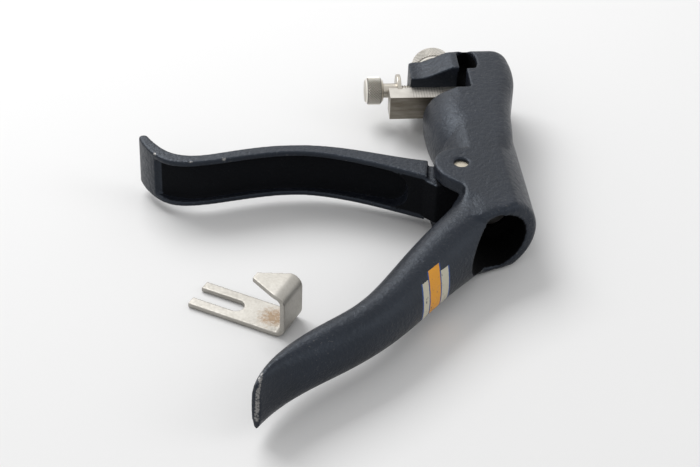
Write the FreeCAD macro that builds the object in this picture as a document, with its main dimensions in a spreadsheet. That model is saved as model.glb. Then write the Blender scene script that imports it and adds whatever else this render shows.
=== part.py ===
import FreeCAD, Part
import math
import os
from FreeCAD import Placement, Rotation, Vector

# A pistol-grip saw set lying on its side, in millimetres.
# Y runs along the barrel towards the nose, X points away from the handles, Z is up.
# The origin is the foot of the barrel's axis on the resting side, level with the lever's pivot.
SIZES = {
    # casting
    "flat_half": 11.6,
    "barrel_bulge": 1.5,
    "barrel_front_bulge": 0.6,
    "barrel_front": 43.0,
    "mouth_back": 25.6,
    "mouth_angle": 25.0,
    "mouth_round": 2.2,
    "hollow_radius": 9.0,
    "hollow_floor": 10.5,
    "boss_radius": 11.4,
    "boss_shift": 3.3,
    "boss_start": 9.0,
    "boss_flare": 2.2,
    "boss_draw": 0.4,
    "boss_edge": 1.4,
    "waist_x": 11.8,
    "waist_y": 27.0,
    "head_start_x": 8.4,
    "head_start_y": 8.0,
    "shoulder_x": 16.5,
    "shoulder_y": 56.0,
    "shoulder_round": 6.0,
    "edge_round": 4.6,
    # throat and nose
    "throat_end": 0.8,
    "nose_back": 54.5,
    "nose_thick": 10.5,
    "brow_thick": 13.2,
    "nose_end": 17.2,
    "nose_corner": 1.5,
    "nose_end_half": 7.8,
    "nose_root_half": 10.9,
    "relief_left": 1.4,
    "relief_right": 3.9,
    "relief_wall": 1.5,
    "relief_bow": 0.8,
    "web_half": 4.6,
    "punch_x": 0.6,
    "punch_y": 4.6,
    "punch_depth": 0.6,
    # pivot
    "pivot_offset": 8.2,
    "ear_radius": 8.2,
    "pin_radius": 2.2,
    "pin_recess": 1.2,
    "ear_slope_start": 14.5,
    "ear_run": 6.0,
    "ear_fall": 0.9,
    "slot_half": 7.2,
    "slot_reach": 10.2,
    "slot_open": 14.0,
    "slot_drop": 1.5,
    # handle
    "grip_reach": 94.0,
    "grip_thick": 12.6,
    "grip_wide": 17.0,
    "grip_tip_thick": 2.6,
    # lever
    "lever_reach": 106.0,
    "lever_half": 8.3,
    "lever_wall": 1.8,
    "lever_root": 17.4,
    "root_top": 6.3,
    "root_low": 2.4,
    "root_wall": 6.5,
    "root_lean": 1.3,
    "tongue_drop": 6.0,
    "tongue_half": 6.9,
    "hub_radius": 4.3,
    "arm_end_radius": 2.4,
    "arm_wide": 6.4,
    "squeeze_angle": 24.0,
    # plunger, hammer and spring
    "plunger_radius": 5.4,
    "plunger_back": 9.0,
    "plunger_shoulder": 9.0,
    "stem_radius": 3.2,
    "stem_front": 39.2,
    "spring_seat": 30.0,
    "spring_radius": 4.45,
    "spring_wire": 1.1,
    "spring_turns": 8,
    "hammer_radius": 2.3,
    "hammer_front": 44.2,
    "hammer_shank": 1.5,
    "hammer_depth": 5.0,
    # anvil
    "anvil_thick": 6.2,
    "anvil_half": 4.1,
    "anvil_left": 24.5,
    "anvil_right": 0.3,
    "anvil_out": 2.4,
    "anvil_in": 0.4,
    "bevel_long": 1.85,
    "bevel_deep": 1.35,
    "stud_radius": 2.2,
    "stud_x": 7.7,
    "stud_depth": 4.0,
    "stud_proud": 0.8,
    # lock nut
    "nut_radius": 7.0,
    "nut_neck_radius": 4.2,
    "nut_neck_length": 4.4,
    "nut_length": 6.6,
    "nut_chamfer": 0.7,
    # adjusting screw
    "screw_y": 59.3,
    "screw_radius": 1.7,
    "screw_engaged": 4.4,
    "screw_bore": 5.0,
    "flange_radius": 5.4,
    "flange_thick": 1.3,
    "flange_x": 21.4,
    "screw_neck_radius": 2.4,
    "screw_neck_length": 4.5,
    "screw_head_radius": 4.7,
    "screw_head_length": 6.0,
    "screw_head_chamfer": 0.9,
    # loose gauge
    "gauge_length": 31.5,
    "gauge_width": 11.4,
    "gauge_sheet": 1.5,
    "gauge_height": 15.0,
    "gauge_lip": 12.5,
    "gauge_tip": 2.6,
    "gauge_slot": 4.9,
    "gauge_slot_depth": 15.3,
    "gauge_bend": 2.0,
    "gauge_x": 61.9,
    "gauge_y": 48.4,
    "gauge_turn": 149.5,
    # clearances
    "running_gap": 0.06,
    "slide_gap": 0.05,
    "side_gap": 0.3,
}

doc = FreeCAD.newDocument("SawSet")
sheet = doc.addObject("Spreadsheet::Sheet", "sizes")
for row, (alias, number) in enumerate(SIZES.items(), start=1):
    sheet.set("A%d" % row, alias)
    sheet.set("B%d" % row, str(number))
    sheet.setAlias("B%d" % row, alias)
doc.recompute()


def size(alias):
    return float(sheet.get(alias))


# Each bound value is a formula on the sheet's aliases, written in braces.
def formula(text):
    return text.replace("{", "sizes.").replace("}", "")


def bind(item, bindings):
    for prop, text in bindings.items():
        item.setExpression(prop, formula(text))
    return item


TURNS = {
    "X": Rotation(Vector(0, 1, 0), 90),
    "Y": Rotation(Vector(1, 0, 0), -90),
    "Z": Rotation(),
}


def cylinder(name, axis, radius, length, at=("0", "0", "0")):
    item = doc.addObject("Part::Cylinder", name)
    item.Placement = Placement(Vector(), TURNS[axis])
    bind(item, {"Radius": radius, "Height": length})
    return bind(item, dict(zip(("Placement.Base.x", "Placement.Base.y", "Placement.Base.z"), at)))


def cone(name, axis, radius_from, radius_to, length, at=("0", "0", "0")):
    item = doc.addObject("Part::Cone", name)
    item.Placement = Placement(Vector(), TURNS[axis])
    bind(item, {"Radius1": radius_from, "Radius2": radius_to, "Height": length})
    return bind(item, dict(zip(("Placement.Base.x", "Placement.Base.y", "Placement.Base.z"), at)))


def block(name, lengths, at):
    item = doc.addObject("Part::Box", name)
    bind(item, dict(zip(("Length", "Width", "Height"), lengths)))
    return bind(item, dict(zip(("Placement.Base.x", "Placement.Base.y", "Placement.Base.z"), at)))


def fuse(name, shapes):
    item = doc.addObject("Part::MultiFuse", name)
    item.Shapes = shapes
    item.Refine = True
    return item


def cut(name, base, tools):
    item = doc.addObject("Part::Cut", name)
    item.Base = base
    item.Tool = tools[0] if len(tools) == 1 else fuse(name + "_tools", tools)
    item.Refine = True
    return item


def common(name, shapes):
    item = doc.addObject("Part::MultiCommon", name)
    item.Shapes = shapes
    return item


# A step is a point for a straight line, two points for an arc, or more for a smooth curve.
def outline(name, start, steps, placement=Placement()):
    sketch = doc.addObject("Sketcher::SketchObject", name)
    sketch.Placement = placement
    here = Vector(*start, 0)
    for step in steps:
        points = [Vector(x, y, 0) for x, y in step]
        if len(points) == 1:
            edge = Part.LineSegment(here, points[0])
        elif len(points) == 2:
            edge = Part.Arc(here, points[0], points[1])
        else:
            edge = Part.BSplineCurve()
            edge.interpolate([here] + points)
        sketch.addGeometry(edge, False)
        here = points[-1]
    return sketch


def extrude(name, sketch, direction, length, symmetric=True):
    item = doc.addObject("Part::Extrusion", name)
    item.Base = sketch
    item.DirMode = "Custom"
    item.Dir = direction
    item.Solid = True
    item.Symmetric = symmetric
    return bind(item, {"LengthFwd": length})


# Rounds the edges that the test picks.
def rounded(name, base, radius, picks):
    doc.recompute()
    edges = [n for n, edge in enumerate(base.Shape.Edges, start=1) if picks(edge)]
    item = doc.addObject("Part::Fillet", name)
    item.Base = base
    item.Edges = [(n, radius, radius) for n in edges]
    return item


UP = Vector(0, 0, 1)
FORWARD = Vector(0, 1, 0)
FRONT_VIEW = Placement(Vector(), Rotation(Vector(1, 0, 0), 90))
COS45 = math.cos(math.pi / 4)


# The barrel is a bar with two flats that thins towards the head, cut on the slant at its open mouth.
def barrel():
    back = size("mouth_back")
    bar = cone("barrel_bar", "Y", "{flat_half} + {barrel_bulge}", "{flat_half} + {barrel_front_bulge}",
               "2 * {mouth_back} + {barrel_front}", ("0", "-2 * {mouth_back}", "0"))
    flats = block("barrel_flats", ("{flat_half} * 4", "{mouth_back} * 8", "{flat_half} * 2"),
                  ("-{flat_half} * 2", "-{mouth_back} * 4", "-{flat_half}"))
    tube = common("barrel_flatted", [bar, flats])
    slope = math.tan(math.radians(size("mouth_angle")))
    wide = 2 * size("flat_half")
    behind = outline("mouth_cut", (-wide, -back - slope * wide), [
        [(wide, -back + slope * wide)],
        [(wide, -4 * back)],
        [(-wide, -4 * back)],
        [(-wide, -back - slope * wide)],
    ])
    open_tube = cut("barrel_tube", tube, [extrude("mouth_block", behind, UP, "{flat_half} * 3")])
    return rounded("barrel", open_tube, size("mouth_round"), lambda edge: edge.BoundBox.YMax < 0)


# The round boss on the barrel's front covers the spring and leans towards the handles.
def boss():
    front = size("barrel_front")
    start = size("boss_start")
    radius = size("boss_radius")
    shift = size("boss_shift")
    stations = [
        (start, radius - size("boss_flare"), 0.2 * shift),
        (start + 0.45 * (front - start), radius, 0.9 * shift),
        (front, radius - size("boss_draw"), shift),
    ]
    rings = []
    for number, (y, ring_radius, left) in enumerate(stations, start=1):
        ring = doc.addObject("Part::Circle", "boss_ring_%d" % number)
        ring.Radius = ring_radius
        ring.Placement = Placement(Vector(-left, y, 0), TURNS["Y"])
        rings.append(ring)
    loft = doc.addObject("Part::Loft", "boss_loft")
    loft.Sections = rings
    loft.Solid = True
    return rounded("boss", loft, size("boss_edge"), lambda edge: edge.BoundBox.YMin > front - 0.01)


# The curved step from the nose's front up to the brow, as points set back by a wall.
def step_curve(wall):
    low = size("nose_back") + size("nose_thick") - wall
    rise = size("brow_thick") - size("nose_thick")
    throat = size("throat_end")
    return [(throat - 1.4 * rise, low), (throat - 0.6 * rise, low + 0.4 * rise),
            (throat - 0.15 * rise, low + 0.8 * rise), (throat + 0.6 * rise, low + rise)]


# The nose stands back from the brow by a small curved step.
def nose_step():
    front = size("nose_back") + size("nose_thick")
    end, corner = -size("nose_end"), size("nose_corner")
    step = step_curve(0)
    brow_x, brow_y = step[-1]
    side = outline("nose_step_side", (end, front - corner), [
        [(end + corner - corner * COS45, front - corner + corner * COS45), (end + corner, front)],
        step[:1],
        step[1:],
        [(brow_x, brow_y + corner)],
        [(end - corner, brow_y + corner)],
        [(end - corner, front - corner)],
        [(end, front - corner)],
    ])
    return extrude("nose_step", side, UP, "{flat_half} * 3")


# The back of the head joins the barrel to the nose in one C, closed at the throat's end.
def head():
    waist_x, waist_y = size("waist_x"), size("waist_y")
    side_x, side_y = size("shoulder_x"), size("shoulder_y")
    turn = size("shoulder_round")
    front = size("nose_back") + size("brow_thick")
    end, throat = -size("nose_end"), size("throat_end")
    start_x, start_y = size("head_start_x"), size("head_start_y")
    flank = side_x - waist_x
    corner_x, corner_y = side_x - 0.1 * flank - turn, front - turn
    side = outline("head_side", (0, start_y), [
        [(start_x, start_y)],
        [(0.3 * start_x + 0.7 * waist_x, 0.5 * (start_y + waist_y)), (waist_x, waist_y),
         (waist_x + 0.35 * flank, 0.6 * waist_y + 0.4 * side_y),
         (waist_x + 0.85 * flank, 0.28 * waist_y + 0.72 * side_y),
         (side_x, side_y), (corner_x + turn, corner_y)],
        [(corner_x + turn * COS45, corner_y + turn * COS45), (corner_x, front)],
        [(end, front)],
        [(end, size("nose_back"))],
        [(throat, size("nose_back"))],
        [(throat, size("barrel_front"))],
        [(0, size("barrel_front"))],
        [(0, start_y)],
    ])
    slab = extrude("head_slab", side, UP, "{flat_half} * 2")

    def outer(edge):
        box = edge.BoundBox
        flat = box.ZLength < 0.01 and abs(abs(box.ZMin) - size("flat_half")) < 0.01
        return flat and box.XMin > 0.5 * start_x and box.YMax > waist_y

    return cut("head", rounded("head_rounded", slab, size("edge_round"), outer), [nose_step()])


# The nose narrows towards its free end, and a relief on each side frees its root.
def nose_cuts():
    back = size("nose_back")
    end, flat = -size("nose_end"), size("flat_half")
    root_half, end_half = size("nose_root_half"), size("nose_end_half")
    left, right = -size("relief_left"), size("relief_right")
    start = back - size("side_gap")
    cuts = []
    for name, side in (("top", 1), ("low", -1)):
        wedge = outline("nose_wedge_" + name, (end - 1, side * end_half), [
            [(0.6 * end, side * (0.75 * end_half + 0.25 * root_half)), (0.31 * end, side * root_half),
             (left, side * 1.05 * flat)],
            [(left, side * 1.25 * flat)],
            [(end - 1, side * 1.25 * flat)],
            [(end - 1, side * end_half)],
        ], Placement(Vector(0, start, 0), Rotation(Vector(1, 0, 0), 90)))
        cuts.append(extrude("nose_taper_" + name, wedge, FORWARD, "{brow_thick} + 1", False))
    bow = size("relief_bow")
    step = step_curve(size("relief_wall"))
    wall = step[-1][1]
    pocket = outline("relief_side", (left, start), [
        [(right, start)],
        [(right + bow, 0.5 * (back + wall)), (right - 1.5 * bow, wall)],
        step[3:],
        [step[2], step[1], (left, 0.25 * step[1][1] + 0.75 * step[0][1])],
        [(left, start)],
    ])
    through = extrude("relief_through", pocket, UP, "{flat_half} * 3")
    web = block("relief_web", ("{nose_thick} * 4", "{nose_thick} * 4", "{web_half} * 2"),
                ("-{nose_thick} * 2", "{nose_back} - {nose_thick}", "-{web_half}"))
    cuts.append(cut("relief", through, [web]))
    slot_end = "{stud_radius} + {side_gap} / 2"
    cuts.append(block("stud_slot", ("{anvil_out} + {anvil_in}", "{nose_thick} + 2", "2 * (%s)" % slot_end),
                      ("-{stud_x} - {anvil_out}", "{nose_back} - 1", "-(%s)" % slot_end)))
    for mark, reach in (("left", "- {anvil_out}"), ("right", "+ {anvil_in}")):
        cuts.append(cylinder("stud_slot_" + mark, "Y", slot_end, "{nose_thick} + 2",
                             ("-{stud_x} " + reach, "{nose_back} - 1", "0")))
    cuts.append(cylinder("screw_bore", "X", "{screw_radius} + {running_gap}", "{screw_bore} + 2",
                         ("-{nose_end} - 2", "{screw_y}", "0")))
    return cuts


# The grip is one smooth loft of ovals from the barrel to the flattened tip.
# A station is its place as a share of the grip's reach, its thickness and its width.
def grip():
    reach = size("grip_reach")
    thick, wide = size("grip_thick"), size("grip_wide")
    tip = size("grip_tip_thick")
    stations = [
        (-0.0160, -0.1255, 1.58 * thick, 1.33 * wide),
        (-0.0979, -0.2574, 1.50 * thick, 1.31 * wide),
        (-0.2287, -0.4096, 1.33 * thick, 1.14 * wide),
        (-0.3372, -0.5521, 1.20 * thick, 1.00 * wide),
        (-0.4734, -0.6957, 1.08 * thick, 0.95 * wide),
        (-0.6170, -0.8011, 0.99 * thick, 0.95 * wide),
        (-0.7053, -0.8766, 0.72 * thick, 0.98 * wide),
        (-0.7617, -0.9436, 0.44 * thick, 0.99 * wide),
        (-0.7936, -1.0000, tip, 0.94 * wide),
    ]
    centres = [Vector(x, y, 0) * reach for x, y, _, _ in stations]
    path = Part.BSplineCurve()
    path.interpolate(centres)
    rings = []
    for number, (centre, (_, _, across, width)) in enumerate(zip(centres, stations), start=1):
        along = path.tangent(path.parameter(centre))[0]
        ring = doc.addObject("Part::Ellipse", "grip_ring_%d" % number)
        ring.MajorRadius = width / 2
        ring.MinorRadius = across / 2
        ring.Placement = Placement(centre, Rotation(UP, along.cross(UP), along, "XZY"))
        rings.append(ring)
    loft = doc.addObject("Part::Loft", "grip")
    loft.Sections = rings
    loft.Solid = True
    return loft


# The slot between the ears clears the lever's tongue, hub and arm through the whole squeeze.
def ear_slot():
    pivot = -size("pivot_offset")
    reach, low = size("slot_reach"), -size("slot_reach") - size("slot_drop")
    left, right = pivot - size("slot_open"), pivot + size("hub_radius") + 4 * size("side_gap")
    shape = outline("slot_side", (left, reach), [
        [(pivot, reach)],
        [(right, 0.6 * reach)],
        [(right, -0.8 * reach)],
        [(pivot, low)],
        [(left, low)],
        [(left, reach)],
    ])
    return extrude("ear_slot", shape, UP, "{slot_half} * 2")


# The ear round the pivot runs back into the grip in one hollow curve, in shares of its radius.
def ear():
    pivot, radius = -size("pivot_offset"), size("ear_radius")
    disc = cylinder("ear_disc", "Z", "{ear_radius}", "{flat_half} * 2",
                    ("-{pivot_offset}", "0", "-{flat_half}"))
    flank = [(-0.96, -0.25), (-0.66, -0.89), (-0.38, -1.16), (-0.13, -1.37), (-0.09, -1.63),
             (-0.22, -2.01), (-0.35, -2.40), (-0.30, -2.90), (0.10, -3.30)]
    points = [(pivot + x * radius, y * radius) for x, y in flank]
    web = outline("ear_web_side", points[0], [
        points[1:4],
        points[4:6],
        points[6:],
        [(0, -0.95 * size("mouth_back"))],
        [(0, points[0][1])],
        [points[0]],
    ])
    blank = extrude("ear_web_blank", web, UP, "{flat_half} * 2")
    return fuse("ear", [disc, cut("ear_web", blank, [ear_slope(1), ear_slope(-1)])])


# The web's faces run down towards the grip beyond the neck.
def ear_slope(side):
    flat, length = size("flat_half"), size("ear_run")
    start, fall = -size("ear_slope_start"), size("ear_fall")
    name = "ear_slope_top" if side > 0 else "ear_slope_low"
    shape = outline(name, (start + length, side * flat), [
        [(start, side * flat)],
        [(start - length / 2, side * (flat - 0.25 * fall)), (start - length, side * (flat - fall)),
         (start - 2 * length, side * (flat - 3 * fall))],
        [(start - 2 * length, side * 2 * flat)],
        [(start + length, side * 2 * flat)],
        [(start + length, side * flat)],
    ], Placement(Vector(), Rotation(Vector(1, 1, 1), 120)))
    return extrude(name + "_cut", shape, Vector(1, 0, 0), "{mouth_back} * 4")


def frame():
    solid = fuse("casting", [barrel(), boss(), head(), grip(), ear()])
    cuts = nose_cuts()
    cuts.append(ear_slot())
    cuts.append(cylinder("hollow", "Y", "{hollow_radius}", "{mouth_back} * 3",
                         ("0", "-{hollow_floor} - {mouth_back} * 3", "0")))
    cuts.append(cylinder("plunger_bore", "Y", "{plunger_radius} + {running_gap}",
                         "{hollow_floor} + {spring_seat} + 1", ("0", "-{hollow_floor} - 1", "0")))
    cuts.append(cylinder("stem_bore", "Y", "{stem_radius} + {running_gap}",
                         "{barrel_front} - {spring_seat} + 2", ("0", "{spring_seat} - 1", "0")))
    cuts.append(cylinder("hammer_groove", "Y", "{hammer_radius} + {side_gap}",
                         "{nose_back} - {barrel_front} + 1", ("0", "{barrel_front} - 1", "0")))
    cuts.append(cylinder("pin_bore", "Z", "{pin_radius} + {running_gap} / 2", "{flat_half} * 3",
                         ("-{pivot_offset}", "0", "-{flat_half} * 1.5")))
    cuts.append(cone("punch_mark", "Z", "{punch_depth} / 6", "{punch_depth}", "{punch_depth} * 7 / 6",
                     ("-{pivot_offset} + {punch_x}", "{punch_y}", "{flat_half} - {punch_depth}")))
    return cut("frame", solid, cuts)


# The lever is a channel, hollow towards the grip, with a tongue that enters the slot.
# Its back and its free edge are given as shares of the lever's reach.
LEVER_BACK = [(-0.3019, 0.1009), (-0.4019, 0.1330), (-0.5094, 0.1528), (-0.6226, 0.1509),
              (-0.7547, 0.1255), (-0.8472, 0.1123), (-0.9000, 0.1264), (-0.9453, 0.1698),
              (-0.9726, 0.2142)]
LEVER_EDGE = [(-0.9585, 0.1245), (-0.9132, 0.0840), (-0.8434, 0.0736), (-0.7500, 0.0877),
              (-0.6236, 0.1113), (-0.5292, 0.1151), (-0.4358, 0.0953), (-0.3170, 0.0481)]
LEVER_TIP = [(-0.9887, 0.2226), (-0.9991, 0.2094)]
LEVER_RUNOUT = [(-0.9406, 0.1226), (-0.9670, 0.1189), (-0.9340, 0.0189)]


def along_lever(points):
    return [(x * size("lever_reach"), y * size("lever_reach")) for x, y in points]


def lever():
    root, top, low = -size("lever_root"), size("root_top"), -size("root_low")
    half, wall = size("lever_half"), size("lever_wall")
    back = along_lever(LEVER_BACK)
    blank = extrude("lever_blank", outline("lever_side", (root, top), [
        back,
        along_lever(LEVER_TIP),
        along_lever(LEVER_EDGE) + [(root - size("root_lean"), low)],
        [(root, top)],
    ]), UP, "{lever_half} * 2")
    inner = [(x - 0.25 * wall, y - wall) for x, y in back[:7]]
    runout = along_lever(LEVER_RUNOUT)
    floor_x, floor_y = root - size("root_wall"), top - wall + 2 * size("side_gap")
    hollow = extrude("lever_hollow", outline("hollow_side", (floor_x, floor_y), [
        inner + runout[:1],
        runout[1:2],
        runout[2:],
        [(floor_x, 5 * low)],
        [(floor_x, floor_y)],
    ]), UP, "({lever_half} - {lever_wall}) * 2")
    reach = half - wall

    def corner(edge):
        box = edge.BoundBox
        return box.ZLength < 0.01 and box.XLength < 0.01 and abs(abs(box.ZMin) - reach) < 0.01

    cavity = rounded("lever_cavity", hollow, 0.85 * reach, corner)
    channel = cut("lever_channel", blank, [cavity])
    start = math.radians(size("squeeze_angle") / 2)
    pivot, arm = -size("pivot_offset"), size("pivot_offset")
    tip_x, tip_y = pivot + arm * math.cos(start), -arm * math.sin(start)
    hub = cylinder("lever_hub", "Z", "{hub_radius}", "{tongue_half} * 2",
                   ("-{pivot_offset}", "0", "-{tongue_half}"))
    hub_x, hub_y = pivot + 0.2 * size("hub_radius"), 0.97 * size("hub_radius")
    tongue = extrude("lever_tongue", outline("tongue_side", (root - wall, top - wall / 2), [
        [(hub_x, hub_y)],
        [(hub_x, -hub_y)],
        [(root + size("root_lean"), -size("tongue_drop"))],
        [(root - wall, 1.25 * low)],
        [(root - wall, top - wall / 2)],
    ]), UP, "{tongue_half} * 2")
    neck = 0.62 * size("arm_end_radius")
    across = Vector(math.sin(start), math.cos(start), 0) * neck
    arm_side = outline("arm_side", (pivot + across.x, across.y), [
        [(tip_x + across.x, tip_y + across.y)],
        [(tip_x - across.x, tip_y - across.y)],
        [(pivot - across.x, -across.y)],
        [(pivot + across.x, across.y)],
    ])
    arm_bar = extrude("lever_arm", arm_side, UP, "{arm_wide}")
    arm_end = cylinder("lever_arm_end", "Z", "{arm_end_radius}", "{arm_wide}",
                       (str(tip_x), str(tip_y), "-{arm_wide} / 2"))
    solid = fuse("lever_solid", [channel, hub, tongue, arm_bar, arm_end])
    bore = cylinder("lever_bore", "Z", "{pin_radius} + {running_gap}", "{lever_half} * 3",
                    ("-{pivot_offset}", "0", "-{lever_half} * 1.5"))
    return cut("lever", solid, [bore])


def pivot_pin():
    return cylinder("pivot_pin", "Z", "{pin_radius}", "({flat_half} - {pin_recess}) * 2",
                    ("-{pivot_offset}", "0", "-({flat_half} - {pin_recess})"))


# The plunger's notch takes the end of the lever's arm, and its flat clears the hub.
def plunger():
    start = math.radians(size("squeeze_angle") / 2)
    arm_y = -size("pivot_offset") * math.sin(start)
    travel = 2 * size("pivot_offset") * math.sin(start)
    end = size("arm_end_radius") + size("side_gap") / 3
    head_bar = cylinder("plunger_head", "Y", "{plunger_radius}", "{plunger_back} + {plunger_shoulder}",
                        ("0", "-{plunger_back}", "0"))
    stem = cylinder("plunger_stem", "Y", "{stem_radius}", "{stem_front} - {plunger_shoulder} + 1",
                    ("0", "{plunger_shoulder} - 1", "0"))
    left = -1.5 * size("plunger_radius")
    bow = size("pivot_offset") * (1 - math.cos(start))
    notch = extrude("plunger_notch", outline("notch_side", (left, arm_y + end), [
        [(bow, arm_y + end)],
        [(bow + end, arm_y), (bow, arm_y - end)],
        [(left, arm_y - end)],
        [(left, arm_y + end)],
    ]), UP, "{plunger_radius} * 3")
    hub = size("hub_radius") + 2 * size("side_gap")
    flat_x = -size("pivot_offset") + hub
    flat = extrude("plunger_flat", outline("flat_side", (left, hub), [
        [(flat_x, hub)],
        [(flat_x, -hub - travel)],
        [(left, -hub - travel)],
        [(left, hub)],
    ]), UP, "{plunger_radius} * 3")
    socket = cylinder("hammer_socket", "Y", "{hammer_shank}", "{hammer_depth} + 1",
                      ("0", "{stem_front} - {hammer_depth}", "0"))
    return cut("plunger", fuse("plunger_solid", [head_bar, stem]), [notch, flat, socket])


# The hammer is a hardened bit with two flats that strikes the tooth's tip.
def hammer():
    shank = cylinder("hammer_root", "Y", "{hammer_shank}", "{hammer_depth} + 0.5",
                     ("0", "{stem_front} - {hammer_depth}", "0"))
    bit = cylinder("hammer_bit", "Y", "{hammer_radius}", "{hammer_front} - {stem_front}",
                   ("0", "{stem_front}", "0"))
    tools = []
    for side, x in (("left", "-{hammer_radius} * 1.6"), ("right", "{hammer_radius} * 0.6")):
        tools.append(block("hammer_flat_" + side,
                           ("{hammer_radius}", "{hammer_radius} * 2", "{hammer_radius} * 4"),
                           (x, "{hammer_front} - {hammer_radius}", "-{hammer_radius} * 2")))
    return cut("hammer", fuse("hammer_solid", [shank, bit]), tools)


# The return spring is one tube of straight facets on a helix, between its two seats.
def return_spring():
    wire = size("spring_wire") / 2
    low = size("plunger_shoulder") + wire + size("running_gap")
    high = size("spring_seat") - wire - size("running_gap")
    radius, turns = size("spring_radius"), int(size("spring_turns"))
    steps, sides = turns * 12, 8
    rings = []
    for step in range(steps + 1):
        angle = 2 * math.pi * step / 12
        outward = Vector(math.cos(angle), 0, math.sin(angle))
        centre = outward * radius + FORWARD * (low + (high - low) * step / steps)
        corners = []
        for side in range(sides + 1):
            turn = 2 * math.pi * side / sides
            corners.append(centre + outward * (wire * math.cos(turn)) + FORWARD * (wire * math.sin(turn)))
        rings.append(Part.makePolygon(corners))
    item = doc.addObject("Part::Feature", "return_spring")
    item.Shape = Part.makeLoft(rings, True, True)
    print("spring least gap", round((high - low) / turns - 2 * wire, 2))
    return item


def anvil_bar():
    bar = block("anvil_blank", ("{anvil_left} + {anvil_right}", "{anvil_thick}", "{anvil_half} * 2"),
                ("-{anvil_left}", "{nose_back} - {slide_gap} - {anvil_thick}", "-{anvil_half}"))
    notch = block("flange_notch", ("{flange_thick} + {side_gap}", "{anvil_thick} * 2", "{anvil_half} * 3"),
                  ("-{flange_x} - {side_gap} / 2", "{screw_y} - {flange_radius} - {side_gap}",
                   "-{anvil_half} * 1.5"))
    face = size("nose_back") - size("slide_gap") - size("anvil_thick")
    end, long, deep = size("anvil_right"), size("bevel_long"), size("bevel_deep")
    bevel = outline("bevel_side", (end - 2 * long, face - deep), [
        [(end + long, face - deep)],
        [(end + long, face + 2 * deep)],
        [(end - 2 * long, face - deep)],
    ])
    chamfer = extrude("anvil_bevel", bevel, UP, "{anvil_half} * 3")
    socket = cylinder("stud_socket", "Y", "{stud_radius}", "{stud_depth} + 1",
                      ("-{stud_x}", "{nose_back} - {slide_gap} - {stud_depth}", "0"))
    return cut("anvil_bar", bar, [notch, chamfer, socket])


NUT_FACE = "{nose_back} + {nose_thick} + {slide_gap}"
NUT_END = NUT_FACE + " + {nut_neck_length} + {nut_length}"


def anvil_stud():
    return cylinder("anvil_stud", "Y", "{stud_radius}",
                    NUT_END + " + {stud_proud} - ({nose_back} - {slide_gap} - {stud_depth})",
                    ("-{stud_x}", "{nose_back} - {slide_gap} - {stud_depth}", "0"))


def lock_nut():
    at = ("-{stud_x}", NUT_FACE, "0")
    neck = cylinder("nut_neck", "Y", "{nut_neck_radius}", "{nut_neck_length} + 0.5", at)
    start = NUT_FACE + " + {nut_neck_length}"
    rim = cylinder("nut_rim", "Y", "{nut_radius}", "{nut_length} - 2 * {nut_chamfer}",
                   ("-{stud_x}", start + " + {nut_chamfer}", "0"))
    back = cone("nut_back", "Y", "{nut_radius} - {nut_chamfer}", "{nut_radius}", "{nut_chamfer}",
                ("-{stud_x}", start, "0"))
    front = cone("nut_front", "Y", "{nut_radius}", "{nut_radius} - {nut_chamfer}", "{nut_chamfer}",
                 ("-{stud_x}", start + " + {nut_length} - {nut_chamfer}", "0"))
    bore = cylinder("nut_bore", "Y", "{stud_radius} + {running_gap}", "{nut_neck_length} + {nut_length} + 2",
                    ("-{stud_x}", NUT_FACE + " - 1", "0"))
    return cut("lock_nut", fuse("nut_solid", [neck, rim, back, front]), [bore])


# The screw turns in the nose, and its flange carries the anvil bar along.
def adjusting_screw():
    flange_left = "-{flange_x}"
    neck_left = flange_left + " - {screw_neck_length}"
    head_left = neck_left + " - {screw_head_length}"
    shank = cylinder("screw_shank", "X", "{screw_radius}",
                     "{flange_x} - {nose_end} + {screw_engaged}", (flange_left, "{screw_y}", "0"))
    flange = cylinder("screw_flange", "X", "{flange_radius}", "{flange_thick}",
                      (flange_left, "{screw_y}", "0"))
    neck = cylinder("screw_neck", "X", "{screw_neck_radius}", "{screw_neck_length} + 0.5",
                    (neck_left, "{screw_y}", "0"))
    chamfer = "{screw_head_chamfer}"
    head_bar = cylinder("screw_head", "X", "{screw_head_radius}",
                        "{screw_head_length} - 2 * " + chamfer,
                        (head_left + " + " + chamfer, "{screw_y}", "0"))
    left = cone("screw_head_left", "X", "{screw_head_radius} - " + chamfer, "{screw_head_radius}", chamfer,
                (head_left, "{screw_y}", "0"))
    right = cone("screw_head_right", "X", "{screw_head_radius}", "{screw_head_radius} - " + chamfer, chamfer,
                 (neck_left + " - " + chamfer, "{screw_y}", "0"))
    return fuse("adjusting_screw", [shank, flange, neck, head_bar, left, right])


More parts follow.
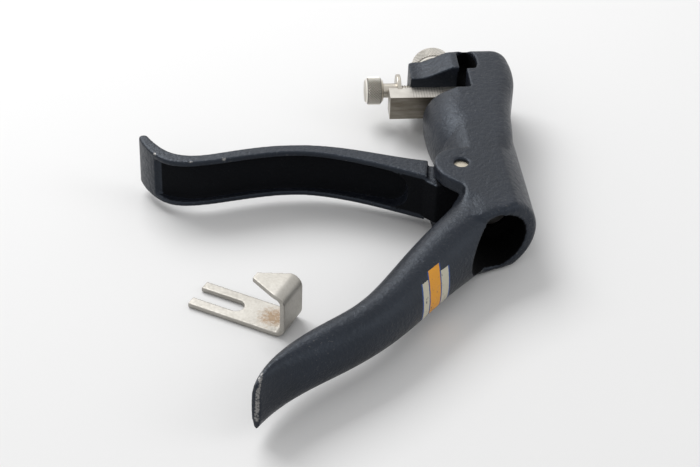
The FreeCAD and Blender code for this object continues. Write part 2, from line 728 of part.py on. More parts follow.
# The gauge is a bent plate that lies beside the tool: a forked foot, a riser and a tapered lip.
def gauge():
    length, width = size("gauge_length"), size("gauge_width")
    sheet_thick, height, bend = size("gauge_sheet"), size("gauge_height"), size("gauge_bend")
    lip = size("gauge_lip")
    low = bend + sheet_thick
    inner = bend * COS45
    outer = low * COS45
    section = outline("gauge_section", (length, 0), [
        [(low, 0)],
        [(low - outer, low - outer), (0, low)],
        [(0, height - low)],
        [(low - outer, height - low + outer), (low, height)],
        [(lip, height)],
        [(lip, height - sheet_thick)],
        [(low, height - sheet_thick)],
        [(low - inner, height - low + inner), (sheet_thick, height - low)],
        [(sheet_thick, low)],
        [(low - inner, low - inner), (low, sheet_thick)],
        [(length, sheet_thick)],
        [(length, 0)],
    ], FRONT_VIEW)
    strip = extrude("gauge_strip", section, FORWARD, "{gauge_width}")
    fork_x = "{gauge_length} - {gauge_slot_depth} + {gauge_slot} / 2"
    slot = block("gauge_fork", ("{gauge_slot_depth}", "{gauge_slot}", "{gauge_sheet} * 3"),
                 (fork_x, "-{gauge_slot} / 2", "-{gauge_sheet}"))
    slot_end = cylinder("gauge_fork_end", "Z", "{gauge_slot} / 2", "{gauge_sheet} * 3",
                        (fork_x, "0", "-{gauge_sheet}"))
    cuts = [slot, slot_end]
    half, tip = width / 2, size("gauge_tip") / 2
    for side in (1, -1):
        name = "far" if side > 0 else "near"
        taper = outline("lip_%s" % name, (low, side * half), [
            [(1.01 * lip, side * tip)],
            [(1.01 * lip, side * 1.2 * half)],
            [(low, side * 1.2 * half)],
            [(low, side * half)],
        ], Placement(Vector(0, 0, height), Rotation()))
        cuts.append(extrude("lip_taper_%s" % name, taper, UP, "{gauge_sheet} * 4"))
    return cut("gauge", strip, cuts)


PARTS = [frame(), lever(), pivot_pin(), plunger(), hammer(), return_spring(), anvil_bar(), anvil_stud(),
         lock_nut(), adjusting_screw(), gauge()]
doc.recompute()

# Everything but the gauge is lifted from the middle plane onto the resting side.
for item in PARTS:
    item.Label = item.Name
    placed = item.Placement
    if item.Name == "gauge":
        item.Placement = Placement(Vector(-size("gauge_x"), -size("gauge_y"), 0),
                                   Rotation(UP, size("gauge_turn")))
    elif item.Name == "pivot_pin":
        bind(item, {"Placement.Base.z": "{pin_recess}"})
    elif item.Name == "anvil_stud":
        bind(item, {"Placement.Base.z": "{flat_half}"})
    else:
        item.Placement = Placement(placed.Base + UP * size("flat_half"), placed.Rotation)
doc.recompute()

for item in doc.Objects:
    if "Invalid" in item.State or "Error" in item.State:
        raise RuntimeError("%s failed: %s" % (item.Name, item.State))

os.makedirs("parts", exist_ok=True)
for item in PARTS:
    shape = item.Shape
    if shape.isNull() or not shape.isValid():
        raise RuntimeError("%s has no valid shape" % item.Label)
    shape.exportStep("parts/%s.step" % item.Label)
    box = shape.BoundBox
    corners = (box.XMin, box.YMin, box.ZMin, box.XMax, box.YMax, box.ZMax)
    print("%-16s solids %d volume %9.1f" % (item.Label, len(shape.Solids), shape.Volume),
          "box %6.1f %6.1f %6.1f to %6.1f %6.1f %6.1f" % corners)
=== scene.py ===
import math

import bmesh
import bpy
from mathutils import Matrix, Vector


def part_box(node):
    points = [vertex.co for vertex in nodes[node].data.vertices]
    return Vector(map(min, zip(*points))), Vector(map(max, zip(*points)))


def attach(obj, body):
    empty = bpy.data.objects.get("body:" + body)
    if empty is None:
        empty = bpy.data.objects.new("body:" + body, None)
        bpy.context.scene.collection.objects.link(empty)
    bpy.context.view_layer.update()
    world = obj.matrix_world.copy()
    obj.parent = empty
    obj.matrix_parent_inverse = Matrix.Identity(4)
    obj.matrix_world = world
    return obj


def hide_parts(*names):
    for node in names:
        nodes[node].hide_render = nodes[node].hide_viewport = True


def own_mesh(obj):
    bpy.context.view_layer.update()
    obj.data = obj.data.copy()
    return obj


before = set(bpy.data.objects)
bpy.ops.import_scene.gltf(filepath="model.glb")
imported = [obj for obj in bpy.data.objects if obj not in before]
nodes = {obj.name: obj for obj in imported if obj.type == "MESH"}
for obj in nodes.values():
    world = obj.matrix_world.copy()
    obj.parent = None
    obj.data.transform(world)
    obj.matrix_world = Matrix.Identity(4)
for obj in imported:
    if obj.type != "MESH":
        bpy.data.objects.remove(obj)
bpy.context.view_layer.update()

MM = 0.001
MID_Z = 11.6  # the tool's middle plane, in millimetres above the floor


# ---------------------------------------------------------------- selecting and editing

def take(piece):
    bpy.ops.object.select_all(action="DESELECT")
    piece.select_set(True)
    bpy.context.view_layer.objects.active = piece


def open_edit(piece, kind):
    take(piece)
    bpy.ops.object.mode_set(mode="EDIT")
    bpy.ops.mesh.select_mode(type=kind)
    bpy.ops.mesh.select_all(action="DESELECT")


def pick_faces(piece, wanted):
    mesh = bmesh.from_edit_mesh(piece.data)
    for face in mesh.faces:
        face.select_set(bool(wanted(face)))
    bmesh.update_edit_mesh(piece.data)


def pick_edges(piece, wanted):
    mesh = bmesh.from_edit_mesh(piece.data)
    for edge in mesh.edges:
        edge.select_set(bool(wanted(edge)))
    bmesh.update_edit_mesh(piece.data)


def close_edit():
    bpy.ops.object.mode_set(mode="OBJECT")


def settle(piece):
    take(piece)
    bpy.ops.object.transform_apply(location=True, rotation=True, scale=True)


def finish_with(piece, modifier_type, name, **settings):
    take(piece)
    modifier = piece.modifiers.new(name, modifier_type)
    for key, value in settings.items():
        setattr(modifier, key, value)
    bpy.ops.object.modifier_apply(modifier=name)


def soft_shade(piece, degrees):
    take(piece)
    bpy.ops.object.shade_smooth_by_angle(angle=math.radians(degrees))


def add_round(name, sides, radius, length):
    bpy.ops.object.select_all(action="DESELECT")
    bpy.ops.mesh.primitive_cylinder_add(vertices=sides, radius=radius, depth=length)
    piece = bpy.context.active_object
    piece.name = piece.data.name = name
    return piece


def lay_along(piece, axis, centre):
    turn = {"X": Matrix.Rotation(math.radians(90), 4, "Y"),
            "Y": Matrix.Rotation(math.radians(-90), 4, "X"),
            "Z": Matrix.Identity(4)}[axis]
    piece.matrix_world = Matrix.Translation(Vector(centre)) @ turn
    settle(piece)


def join_all(name, parts):
    bpy.ops.object.select_all(action="DESELECT")
    for part in parts:
        part.select_set(True)
    bpy.context.view_layer.objects.active = parts[0]
    bpy.ops.object.join()
    parts[0].name = parts[0].data.name = name
    return parts[0]


# ---------------------------------------------------------------- materials

def new_material(name):
    material = bpy.data.materials.new(name)
    material.use_nodes = True
    tree = material.node_tree
    shader = tree.nodes["Principled BSDF"]
    place = tree.nodes.new("ShaderNodeTexCoord").outputs["Object"]
    return material, tree, shader, place


def grain(tree, place, scale, detail=4.0, rough=0.55, stretch=None):
    if stretch:
        mapping = tree.nodes.new("ShaderNodeMapping")
        mapping.inputs["Scale"].default_value = stretch
        tree.links.new(place, mapping.inputs["Vector"])
        place = mapping.outputs["Vector"]
    noise = tree.nodes.new("ShaderNodeTexNoise")
    noise.inputs["Scale"].default_value = scale
    noise.inputs["Detail"].default_value = detail
    noise.inputs["Roughness"].default_value = rough
    tree.links.new(place, noise.inputs["Vector"])
    return noise.outputs["Fac"]


def ramp(tree, value, stops):
    node = tree.nodes.new("ShaderNodeValToRGB")
    for number, (at, color) in enumerate(stops):
        if number < 2:
            stop = node.color_ramp.elements[number]
            stop.position = at
        else:
            stop = node.color_ramp.elements.new(at)
        stop.color = (*color, 1) if isinstance(color, tuple) else (color, color, color, 1)
    tree.links.new(value, node.inputs["Fac"])
    return node.outputs["Color"]


def mix(tree, amount, first, second):
    node = tree.nodes.new("ShaderNodeMix")
    node.data_type = "RGBA"
    for socket, value in (("Factor", amount), ("A", first), ("B", second)):
        target = next(s for s in node.inputs if s.name == socket and s.enabled)
        if isinstance(value, bpy.types.NodeSocket):
            tree.links.new(value, target)
        else:
            target.default_value = value if socket == "Factor" else (*value, 1)
    return next(s for s in node.outputs if s.enabled)


def maths(tree, operation, first, second=0.5):
    node = tree.nodes.new("ShaderNodeMath")
    node.operation = operation
    node.use_clamp = operation in ("MULTIPLY", "ADD")
    for number, value in enumerate((first, second)):
        if isinstance(value, bpy.types.NodeSocket):
            tree.links.new(value, node.inputs[number])
        else:
            node.inputs[number].default_value = value
    return node.outputs["Value"]


def bumps(tree, shader, layers):
    normal = None
    for height, strength, distance in layers:
        node = tree.nodes.new("ShaderNodeBump")
        node.inputs["Strength"].default_value = strength
        node.inputs["Distance"].default_value = distance
        tree.links.new(height, node.inputs["Height"])
        if normal:
            tree.links.new(normal, node.inputs["Normal"])
        normal = node.outputs["Normal"]
    tree.links.new(normal, shader.inputs["Normal"])


# How close a point of the surface is to a spot: 1 at the spot, 0 beyond the reach.
def near(tree, place, spot, reach):
    node = tree.nodes.new("ShaderNodeVectorMath")
    node.operation = "DISTANCE"
    tree.links.new(place, node.inputs[0])
    node.inputs[1].default_value = spot
    fall = tree.nodes.new("ShaderNodeMapRange")
    fall.inputs["From Min"].default_value = 0.0
    fall.inputs["From Max"].default_value = reach
    fall.inputs["To Min"].default_value = 1.0
    fall.inputs["To Max"].default_value = 0.0
    tree.links.new(node.outputs["Value"], fall.inputs["Value"])
    return fall.outputs["Result"]


# How much a point lies inside a painted attribute of the piece.
def painted(tree, name):
    node = tree.nodes.new("ShaderNodeAttribute")
    node.attribute_name = name
    return node.outputs["Fac"]


# 1 between two limits, 0 outside them.
def between(tree, value, low, high):
    over = maths(tree, "GREATER_THAN", value, low)
    under = maths(tree, "LESS_THAN", value, high)
    return maths(tree, "MULTIPLY", over, under)


def along_axis(tree, place, axis, offset):
    node = tree.nodes.new("ShaderNodeVectorMath")
    node.operation = "DOT_PRODUCT"
    tree.links.new(place, node.inputs[0])
    node.inputs[1].default_value = axis
    return maths(tree, "SUBTRACT", node.outputs["Value"], offset)


# The transfer is laid out on two axes of the grip, each with the place in metres where it starts.
GRIP_ALONG, ALONG_START = (1.342, 0.103, 0), -0.0415
GRIP_ACROSS, ACROSS_START = (0.724, -0.69, 0), 0.01836
SIDE_EDGE, CENTRE_EDGE, LOWEST = -0.00105, -0.0026, 0.0052
BLUE, CREAM, ORANGE = (0.02, 0.06, 0.22), (0.5, 0.47, 0.37), (0.68, 0.3, 0.025)


# A worn transfer wrapped round the grip: three plain bands with a blue edge.
def transfer(tree, place, color):
    ragged = maths(tree, "DIVIDE", grain(tree, place, 1300, 4, 0.7), 3000)
    along = maths(tree, "SUBTRACT", along_axis(tree, place, GRIP_ALONG, ALONG_START), ragged)
    across = maths(tree, "SUBTRACT", along_axis(tree, place, GRIP_ACROSS, ACROSS_START), ragged)
    height = along_axis(tree, place, (0, 0, 1), 0)
    above = maths(tree, "GREATER_THAN", height, LOWEST)
    side = maths(tree, "GREATER_THAN", across, SIDE_EDGE)
    centre = maths(tree, "GREATER_THAN", across, CENTRE_EDGE)
    wear = ramp(tree, grain(tree, place, 520, 6, 0.75), [(0.36, 0.0), (0.4, 1.0)])
    shapes = ((0.0006, 0.0138, side, BLUE), (0.0038, 0.0098, centre, BLUE), (0.0011, 0.0038, side, CREAM),
              (0.0098, 0.0133, side, CREAM), (0.0043, 0.0093, centre, ORANGE))
    whole = None
    for start, end, edge, tint in shapes:
        band = between(tree, along, start, end)
        patch = maths(tree, "MULTIPLY", band, maths(tree, "MULTIPLY", edge, above))
        patch = maths(tree, "MULTIPLY", patch, wear)
        color = mix(tree, patch, color, tint)
        whole = maths(tree, "MAXIMUM", whole, patch) if whole else patch
    return color, whole


JAPAN_DEEP, JAPAN_PALE = (0.0055, 0.0065, 0.0095), (0.010, 0.012, 0.018)
DUST, BARE_IRON, SHADE = (0.11, 0.105, 0.1), (0.26, 0.25, 0.24), (0.0025, 0.0022, 0.002)


# Baked black japan: bluish black, pebbled by the casting and dusty, with bare iron at rubbed edges.
def japan(name, labelled=False):
    material, tree, shader, place = new_material(name)
    cloud = grain(tree, place, 60, 5)
    pebble = grain(tree, place, 750, 3, 0.6)
    fine = grain(tree, place, 2300, 2)
    color = ramp(tree, cloud, [(0.3, JAPAN_DEEP), (0.75, JAPAN_PALE)])
    dust = ramp(tree, grain(tree, place, 1500, 2, 0.6), [(0.63, 0.0), (0.72, 0.6)])
    dust = maths(tree, "MULTIPLY", dust, ramp(tree, cloud, [(0.46, 0.15), (0.6, 1.0)]))
    color = mix(tree, dust, color, DUST)
    rub = maths(tree, "MULTIPLY", painted(tree, "rubbed"), grain(tree, place, 1500, 5, 0.7))
    bare = ramp(tree, rub, [(0.38, 0.0), (0.5, 0.9)])
    color = mix(tree, bare, color, BARE_IRON)
    dark = painted(tree, "shaded")
    color = mix(tree, dark, color, SHADE)
    sheen = ramp(tree, pebble, [(0.3, 0.3), (0.75, 0.5)])
    if labelled:
        color, paper = transfer(tree, place, color)
        sheen = mix(tree, paper, sheen, (0.5, 0.5, 0.5))
    sheen = mix(tree, dark, sheen, (0.9, 0.9, 0.9))
    tree.links.new(color, shader.inputs["Base Color"])
    tree.links.new(sheen, shader.inputs["Roughness"])
    tree.links.new(maths(tree, "MULTIPLY", bare, 0.8), shader.inputs["Metallic"])
    shader.inputs["IOR"].default_value = 1.45
    shader.inputs["Specular Tint"].default_value = (0.72, 0.84, 1.0, 1)
    level = maths(tree, "SUBTRACT", 0.39, maths(tree, "MULTIPLY", dark, 0.31))
    tree.links.new(level, shader.inputs["Specular IOR Level"])
    bumps(tree, shader, [(cloud, 0.4, 0.0005), (pebble, 0.8, 0.0003), (fine, 0.6, 0.0001)])
    return material


# A painted highlight for knurl tips, and painted shade with dirt for their valleys.
KNURL_PAINTED_HIGHLIGHT, KNURL_DIRT_AND_SHADE = (0.84, 0.81, 0.75), (0.1, 0.09, 0.075)
BAR_LINE, BAR_FRONT_TONE = (0.1, 0.09, 0.08), (0.15, 0.125, 0.09)


def metal(name, light, dark, rough, brushed=None, stain=None, scale=160, knurl_highlight_shade_dirt=None):
    material, tree, shader, place = new_material(name)
    shader.inputs["Metallic"].default_value = 1.0
    cloud = grain(tree, place, scale, 5)
    color = ramp(tree, cloud, [(0.3, dark), (0.7, light)])
    if stain:
        spot, reach, tint = stain
        patch = maths(tree, "MULTIPLY", near(tree, place, spot, reach), grain(tree, place, 900, 6, 0.75))
        color = mix(tree, ramp(tree, patch, [(0.22, 0.0), (0.42, 0.85)]), color, tint)
    if knurl_highlight_shade_dirt:
        knurl = painted(tree, knurl_highlight_shade_dirt)
        # Knurl tips get a painted highlight; the valleys get painted shade and dirt.
        color = mix(tree, ramp(tree, knurl, [(0.15, 0.0), (0.45, 1.0)]), color, KNURL_PAINTED_HIGHLIGHT)
        color = mix(tree, ramp(tree, knurl, [(0.7, 0.0), (0.92, 0.9)]), color, KNURL_DIRT_AND_SHADE)
    tree.links.new(color, shader.inputs["Base Color"])
    scratch = grain(tree, place, 900, 3, 0.6, brushed) if brushed else grain(tree, place, 1500, 2)
    sheen = ramp(tree, scratch, [(0.2, rough * 0.75), (0.8, rough * 1.3)])
    tree.links.new(sheen, shader.inputs["Roughness"])
    bumps(tree, shader, [(cloud, 0.1, 0.0001), (scratch, 0.25, 0.00003)])
    return material


BAR_TOP, BAR_FRONT = 15.6 * MM, 48.35 * MM


# The ground bar carries fine scale lines across its top near the nose, and darker, browner smears on its
# front face.
def ground_bar(name, first_x, last_x, step):
    material, tree, shader, place = new_material(name)
    shader.inputs["Metallic"].default_value = 1.0
    cloud = grain(tree, place, 200, 5)
    base = ramp(tree, cloud, [(0.3, (0.42, 0.4, 0.365)), (0.7, (0.54, 0.52, 0.48))])
    parts = tree.nodes.new("ShaderNodeSeparateXYZ")
    tree.links.new(place, parts.inputs["Vector"])
    along = parts.outputs["X"]
    steps = maths(tree, "DIVIDE", maths(tree, "SUBTRACT", along, first_x), step)
    beat = maths(tree, "ABSOLUTE", maths(tree, "SUBTRACT", maths(tree, "FRACT", steps), 0.5))
    line = maths(tree, "LESS_THAN", beat, 0.1)
    inside = between(tree, along, first_x, last_x)
    above = maths(tree, "GREATER_THAN", parts.outputs["Z"], BAR_TOP)
    marks = maths(tree, "MULTIPLY", maths(tree, "MULTIPLY", line, inside), above)
    faint = maths(tree, "MULTIPLY", marks, grain(tree, place, 700, 4))
    base = mix(tree, faint, base, BAR_LINE)
    # The front face is made darker and browner in smears.
    front = maths(tree, "LESS_THAN", parts.outputs["Y"], BAR_FRONT)
    smears = ramp(tree, grain(tree, place, 400, 5, 0.7, (0.3, 1, 2)), [(0.3, 0.55), (0.7, 0.9)])
    base = mix(tree, maths(tree, "MULTIPLY", front, smears), base, BAR_FRONT_TONE)
    tree.links.new(base, shader.inputs["Base Color"])
    grind = grain(tree, place, 500, 3, 0.6, (0.25, 6, 6))
    tree.links.new(ramp(tree, grind, [(0.2, 0.36), (0.8, 0.55)]), shader.inputs["Roughness"])
    bumps(tree, shader, [(grind, 0.35, 0.00004), (marks, -0.6, 0.00008)])
    return material


BLACK_JAPAN = japan("black_japan_casting", labelled=True)
LEVER_JAPAN = japan("black_japan_lever")
SATIN_NICKEL = metal("satin_nickel_plate", (0.41, 0.395, 0.365), (0.35, 0.335, 0.305), 0.5,
                     stain=((-0.0675, -0.045, 0.0015), 0.0095, (0.22, 0.15, 0.09)))
DULL_NICKEL = metal("dull_nickel_knurl", (0.52, 0.49, 0.44), (0.42, 0.39, 0.34), 0.34, knurl_highlight_shade_dirt="valley")
PIN_STEEL = metal("bright_pin_steel", (0.5, 0.46, 0.38), (0.42, 0.38, 0.31), 0.5)
# The plunger's dark turned steel is made darker still as painted shade, for it sits in the bore.
PLUNGER_STEEL_IN_SHADE = metal("turned_plunger_steel_painted_shade", (0.16, 0.155, 0.15), (0.08, 0.075, 0.07), 0.4, (1, 8, 1))
HAMMER_STEEL = metal("hardened_hammer_steel", (0.3, 0.29, 0.28), (0.18, 0.155, 0.135), 0.3)
SPRING_STEEL = metal("blued_spring_wire", (0.2, 0.2, 0.23), (0.12, 0.12, 0.14), 0.3)
BAR_NICKEL = ground_bar("ground_anvil_bar", -0.0172, -0.0062, 0.0009)


def clothe(piece, material):
    piece.data.materials.clear()
    piece.data.materials.append(material)


def paint_node(node, material):
    for place in nodes[node].material_slots:
        place.material = material


# ---------------------------------------------------------------- cast and plated parts

def copy_node(node, name):
    piece = nodes[node].copy()
    piece.data = nodes[node].data.copy()
    piece.name = piece.data.name = name
    bpy.context.scene.collection.objects.link(piece)
    piece.parent = None
    for key in list(piece.keys()):
        del piece[key]
    return piece


# A copy of a node with its corners eased, as casting or plating leaves them.
def soften(node, name, body, voxel, rounds, material):
    piece = copy_node(node, name)
    open_edit(piece, "VERT")
    bpy.ops.mesh.select_all(action="SELECT")
    bpy.ops.mesh.remove_doubles(threshold=0.00001)
    bpy.ops.mesh.customdata_custom_splitnormals_clear()
    close_edit()
    finish_with(piece, "REMESH", "skin", mode="VOXEL", voxel_size=voxel, adaptivity=0.0)
    finish_with(piece, "SMOOTH", "ease", factor=0.5, iterations=rounds)
    take(piece)
    bpy.ops.object.shade_smooth()
    clothe(piece, material)
    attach(piece, body)
    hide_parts(node)
    return piece


# Writes a value from 0 to 1 on every corner point of a piece.
def mark(piece, name, rule):
    layer = piece.data.attributes.new(name, "FLOAT", "POINT")
    for vertex, value in zip(piece.data.vertices, layer.data):
        value.value = max(0.0, min(1.0, rule(vertex.co / MM, vertex.normal)))


def close_to(point, spots):
    return max(1.0 - (point - Vector(spot)).length / reach for spot, reach in spots)


casting = soften("frame", "cast_frame", "frame_body", 0.5 * MM, 4, BLACK_JAPAN)
hand_lever = soften("lever", "cast_lever", "lever_body", 0.4 * MM, 3, LEVER_JAPAN)
bent_gauge = soften("gauge", "bent_gauge", "gauge_body", 0.25 * MM, 3, SATIN_NICKEL)


# Smooths a piece near some spots, each with its reach in millimetres.
def ease_near(piece, spots, rounds):
    group = piece.vertex_groups.new(name="blend")
    for vertex in piece.data.vertices:
        weight = close_to(vertex.co / MM, spots)
        if weight > 0:
            group.add([vertex.index], min(1.0, 2.5 * weight), "REPLACE")
    finish_with(piece, "SMOOTH", "blend", factor=0.5, iterations=rounds, vertex_group="blend")
    piece.vertex_groups.clear()


def close_to_line(point, corners, reach):
    nearest = reach
    for start, end in zip(corners, corners[1:]):
        start, run = Vector(start), Vector(end) - Vector(start)
        share = max(0.0, min(1.0, (point - start).dot(run) / run.length_squared))
        nearest = min(nearest, (point - start - share * run).length)
    return 1.0 - nearest / reach


# The bore of the barrel and the throat lie in the dark.
def casting_shade(point, normal):
    height = point.z - MID_Z
    bore = math.hypot(point.x, height) < 9.3 and point.y < -8 and normal.dot(Vector((point.x, 0, height))) < 0
    throat = abs(height) < 10 and -2 < point.x < 5 and 54 < point.y < 67
    return 1.0 if bore or throat else 0.0


# So do the lever's channel and its root.
def lever_shade(point, normal):
    channel = normal.y < -0.2 and abs(point.z - MID_Z) < 6.6 and point.x > -99
    return 0.85 if channel or point.x > -16 else 0.0


# Spots and lines in millimetres, where hands and the bench have worn the japan off.
CASTING_WORN = [((-10.5, -12.5, 23.0), 2.0), ((-2.0, 43.0, 23.2), 2.0), ((0.9, 54.3, 21.5), 2.0)]
LEVER_WORN = [((-105.8, 23.5, 19.9), 3.5), ((-80.0, 9.2, 19.9), 3.5),
              ((-90.0, 8.0, 19.9), 2.5), ((-101, 13, 19.9), 2.5)]
GRIP_TIP_EDGE = [(-72.5, -87.7, 19.0), (-73.0, -90.0, 19.7), (-73.4, -92.3, 19.7), (-74.0, -94.3, 17.2),
                 (-74.2, -94.2, 12.6), (-74.4, -94.1, 7.9), (-73.4, -92.3, 3.5)]

# The casting's surfaces run into each other in soft hollows below the ear and beside the boss.
ease_near(casting, [((-9, -22, 22), 8), ((-9, -22, 1.2), 8), ((-3, -24, 22), 5), ((-3, -24, 1.2), 5)], 60)
ease_near(casting, [((-3.5, 30, 22), 12), ((-3.5, 30, 1.2), 12)], 30)

mark(casting, "shaded", casting_shade)
mark(casting, "rubbed", lambda point, normal: max(
    1.5 * close_to_line(point, GRIP_TIP_EDGE, 1.3), close_to(point, CASTING_WORN)))
mark(hand_lever, "shaded", lever_shade)
mark(hand_lever, "rubbed", lambda point, normal: close_to(point, LEVER_WORN))


# ---------------------------------------------------------------- knurled nut and screw

# A diamond knurl: each face of a ringed bar is poked, the old edges go,
# and the diamonds that are left are poked outwards.
def knurled_bar(name, radius, length, around, rings, height, chamfer):
    piece = add_round(name, around, radius - height, length - 2 * chamfer)
    open_edit(piece, "EDGE")
    pick_edges(piece, lambda edge: abs(edge.verts[0].co.z - edge.verts[1].co.z) > 0.5 * length)
    bpy.ops.mesh.subdivide(number_cuts=rings - 1)
    bpy.ops.mesh.select_mode(type="FACE")
    pick_faces(piece, lambda face: abs(face.normal.z) < 0.5)
    bpy.ops.mesh.poke(offset=0)
    close_edit()
    corners = around * (rings + 1)
    open_edit(piece, "EDGE")
    half = 0.5 * length - chamfer

    def old_edge(edge):
        first, second = edge.verts
        rim = abs(abs(first.co.z) - half) < 1e-6 and abs(abs(second.co.z) - half) < 1e-6
        return first.index < corners and second.index < corners and not rim

    pick_edges(piece, old_edge)
    bpy.ops.mesh.dissolve_edges(use_verts=False)
    bpy.ops.mesh.select_mode(type="FACE")
    pick_faces(piece, lambda face: abs(face.normal.z) < 0.5 and len(face.verts) == 4)
    bpy.ops.mesh.poke(offset=height)
    for side in (1, -1):
        pick_faces(piece, lambda face: face.normal.z * side > 0.9 and len(face.verts) > 12)
        shrink = (radius - height - chamfer) / (radius - height)
        bpy.ops.mesh.extrude_region_move(TRANSFORM_OT_translate={"value": (0, 0, side * chamfer)})
        bpy.ops.transform.resize(value=(shrink, shrink, 1))
        bpy.ops.mesh.inset(thickness=0.35 * radius, depth=0)
        bpy.ops.mesh.inset(thickness=0.12 * radius, depth=-0.12 * MM)
    close_edit()
    return piece


def thread_ridge(name, radius, pitch, turns, height):
    bpy.ops.object.select_all(action="DESELECT")
    bpy.ops.mesh.primitive_circle_add(vertices=3, radius=height, fill_type="NOTHING")
    piece = bpy.context.active_object
    piece.name = piece.data.name = name
    root = radius - height
    places = [(root, 0, 0.12 * pitch), (radius, 0, 0.5 * pitch), (root, 0, 0.88 * pitch)]
    for corner, spot in zip(piece.data.vertices, places):
        corner.co = spot
    finish_with(piece, "SCREW", "wind", axis="Z", screw_offset=pitch, iterations=turns,
                steps=20, render_steps=20, use_merge_vertices=True, merge_threshold=1e-6)
    open_edit(piece, "EDGE")
    bpy.ops.mesh.select_non_manifold()
    bpy.ops.mesh.fill_holes(sides=0)
    bpy.ops.mesh.select_all(action="SELECT")
    bpy.ops.mesh.normals_make_consistent(inside=False)
    close_edit()
    return piece


stud_low, stud_high = (Vector(corner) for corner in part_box("anvil_stud"))
nut_low, nut_high = (Vector(corner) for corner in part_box("lock_nut"))
nut_x, mid_z = 0.5 * (nut_low.x + nut_high.x), 0.5 * (nut_low.z + nut_high.z)
nut_radius = 0.5 * (nut_high.x - nut_low.x)
nut_grip, nut_neck = 6.6 * MM, 4.4 * MM
NUT_KNURL, SCREW_KNURL = 0.46 * MM, 0.42 * MM
THREAD_PITCH, THREAD_HEIGHT = 0.8 * MM, 0.3 * MM


# The valleys of a knurl (1) get painted shade and dirt, and its tips (0.5) a painted highlight.
# This is marked while the bar stands upright at the origin.
def mark_valleys(piece, radius, height, half):
    def rule(point, normal):
        if abs(point.z) > half / MM:
            return 0.0
        return 1.0 if math.hypot(point.x, point.y) < (radius - 0.8 * height) / MM else 0.5

    mark(piece, "valley", rule)


nut_rim = knurled_bar("nut_rim", nut_radius, nut_grip, 46, 6, NUT_KNURL, 0.6 * MM)
mark_valleys(nut_rim, nut_radius, NUT_KNURL, 0.5 * nut_grip - 0.55 * MM)
lay_along(nut_rim, "Y", (nut_x, nut_high.y - 0.5 * nut_grip, mid_z))
nut_collar = add_round("nut_collar", 48, 4.2 * MM, nut_neck + 0.3 * MM)
open_edit(nut_collar, "FACE")
pick_faces(nut_collar, lambda face: face.normal.z > 0.9)
bpy.ops.mesh.inset(thickness=0.3 * MM, depth=0.15 * MM)
close_edit()
lay_along(nut_collar, "Y", (nut_x, nut_low.y + 0.5 * nut_neck + 0.15 * MM, mid_z))
nut = join_all("knurled_lock_nut", [nut_rim, nut_collar])
soft_shade(nut, 12)
clothe(nut, DULL_NICKEL)
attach(nut, "nut_body")
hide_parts("lock_nut")

screw_low, screw_high = (Vector(corner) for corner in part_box("adjusting_screw"))
screw_y = 0.5 * (screw_low.y + screw_high.y)
head_radius, head_length, flange_x = 4.7 * MM, 6.0 * MM, -21.4 * MM

screw_head = knurled_bar("screw_head", head_radius, head_length, 30, 5, SCREW_KNURL, 0.8 * MM)
mark_valleys(screw_head, head_radius, SCREW_KNURL, 0.5 * head_length - 0.75 * MM)
lay_along(screw_head, "X", (screw_low.x + 0.5 * head_length, screw_y, mid_z))
screw_neck = add_round("screw_neck", 40, 2.4 * MM, 4.7 * MM)
lay_along(screw_neck, "X", (flange_x - 2.25 * MM, screw_y, mid_z))
screw_flange = add_round("screw_flange", 64, 5.4 * MM, 1.3 * MM)
finish_with(screw_flange, "BEVEL", "ease", width=0.2 * MM, segments=2, limit_method="ANGLE")
lay_along(screw_flange, "X", (flange_x + 0.65 * MM, screw_y, mid_z))
screw_core = add_round("screw_core", 40, 1.5 * MM, screw_high.x - flange_x)
lay_along(screw_core, "X", (0.5 * (screw_high.x + flange_x), screw_y, mid_z))
screw_thread = thread_ridge("screw_thread", 1.7 * MM, THREAD_PITCH, 6, THREAD_HEIGHT)
lay_along(screw_thread, "X", (flange_x + 1.4 * MM, screw_y, mid_z))
screw = join_all("knurled_adjusting_screw",
                 [screw_head, screw_neck, screw_flange, screw_core, screw_thread])
soft_shade(screw, 12)
clothe(screw, DULL_NICKEL)
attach(screw, "screw_body")
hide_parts("adjusting_screw")

stud_core = add_round("stud_core", 48, 2.0 * MM, stud_high.y - stud_low.y)
finish_with(stud_core, "BEVEL", "ease", width=0.3 * MM, segments=2, limit_method="ANGLE")
lay_along(stud_core, "Y", (nut_x, 0.5 * (stud_low.y + stud_high.y), mid_z))
stud_thread = thread_ridge("stud_thread", 2.2 * MM, THREAD_PITCH, 14, THREAD_HEIGHT)
lay_along(stud_thread, "Y", (nut_x, stud_high.y - 11.6 * MM, mid_z))
stud = join_all("threaded_anvil_stud", [stud_core, stud_thread])
soft_shade(stud, 30)
clothe(stud, PIN_STEEL)
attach(stud, "anvil_body")
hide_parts("anvil_stud")


# ---------------------------------------------------------------- bar, pin and hidden works

paint_node("anvil_bar", BAR_NICKEL)
paint_node("pivot_pin", PIN_STEEL)
paint_node("plunger", PLUNGER_STEEL_IN_SHADE)
paint_node("hammer", HAMMER_STEEL)

# The coil sits on its seat and rides with the frame, on a mesh of its own; in the tool it shortens by the
# plunger's travel as the lever is squeezed.
coil = copy_node("return_spring", "coiled_return_spring")
clothe(coil, SPRING_STEEL)
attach(coil, "frame_body")
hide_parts("return_spring")
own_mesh(coil)


# ---------------------------------------------------------------- floor, light and camera

bpy.ops.object.select_all(action="DESELECT")
bpy.ops.mesh.primitive_plane_add(size=6, location=(0, 0, -0.0002))
floor = bpy.context.active_object
floor.name = "studio_floor"
floor_material, _, floor_shader, _ = new_material("pale_floor")
floor_shader.inputs["Base Color"].default_value = (0.82, 0.82, 0.82, 1)
floor_shader.inputs["Roughness"].default_value = 0.9
floor_shader.inputs["Specular IOR Level"].default_value = 0.1
floor.data.materials.append(floor_material)


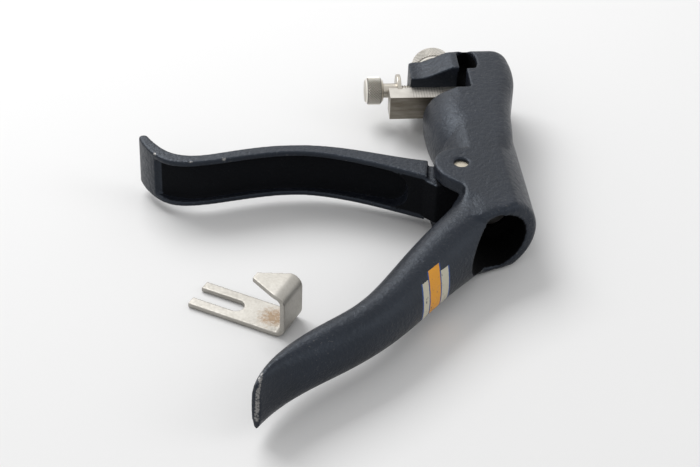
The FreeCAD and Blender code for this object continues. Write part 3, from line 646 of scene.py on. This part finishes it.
def soft_lamp(name, place, aim, size, power):
    data = bpy.data.lights.new(name, "AREA")
    data.shape = "RECTANGLE"
    data.size, data.size_y = size
    data.energy = power
    lamp = bpy.data.objects.new(name, data)
    bpy.context.scene.collection.objects.link(lamp)
    lamp.location = place
    lamp.rotation_euler = (Vector(aim) - Vector(place)).to_track_quat("-Z", "Y").to_euler()


soft_lamp("window_light", (-0.34, 0.5, 0.64), (-0.03, 0, 0.01), (0.6, 0.45), 5.2)
soft_lamp("side_fill", (0.7, -0.2, 0.5), (0, 0, 0.01), (0.4, 0.4), 0.8)
soft_lamp("front_fill", (-0.4, -0.7, 0.45), (0, 0, 0.01), (0.5, 0.4), 0.4)

world = bpy.data.worlds.new("studio")
bpy.context.scene.world = world
world.use_nodes = True
sky = world.node_tree
plain = sky.nodes["Background"]
plain.inputs["Color"].default_value = (1, 1, 1, 1)
plain.inputs["Strength"].default_value = 0.58
seen = sky.nodes.new("ShaderNodeBackground")
seen.inputs["Color"].default_value = (1, 1, 1, 1)
seen.inputs["Strength"].default_value = 1.0
path = sky.nodes.new("ShaderNodeLightPath")
either = maths(sky, "MAXIMUM", path.outputs["Is Camera Ray"], path.outputs["Is Transmission Ray"])
either = maths(sky, "MAXIMUM", either, path.outputs["Is Glossy Ray"])
backdrop = sky.nodes.new("ShaderNodeMixShader")
sky.links.new(either, backdrop.inputs["Fac"])
sky.links.new(plain.outputs["Background"], backdrop.inputs[1])
sky.links.new(seen.outputs["Background"], backdrop.inputs[2])
sky.links.new(backdrop.outputs["Shader"], sky.nodes["World Output"].inputs["Surface"])

# The photograph's camera: its three axes, place in metres and focal length.
RIGHT = Vector((0.995988, -0.084047, 0.030724))
DOWN = Vector((-0.025971, -0.600040, -0.799548))
FORWARD = Vector((0.085635, 0.795543, -0.599815))
CAMERA_PLACE = Vector((-0.0890664, -0.4434493, 0.3314661))
FOCAL_LENGTH = 92.23
lens = bpy.data.cameras.new("photo_camera")
lens.sensor_width = 36
lens.lens = FOCAL_LENGTH
lens.clip_start = 0.01
camera = bpy.data.objects.new("photo_camera", lens)
bpy.context.scene.collection.objects.link(camera)
turn = Matrix((RIGHT, -DOWN, -FORWARD)).transposed().to_4x4()
camera.matrix_world = Matrix.Translation(CAMERA_PLACE) @ turn
bpy.context.scene.camera = camera
bpy.context.scene.view_settings.view_transform = "Standard"
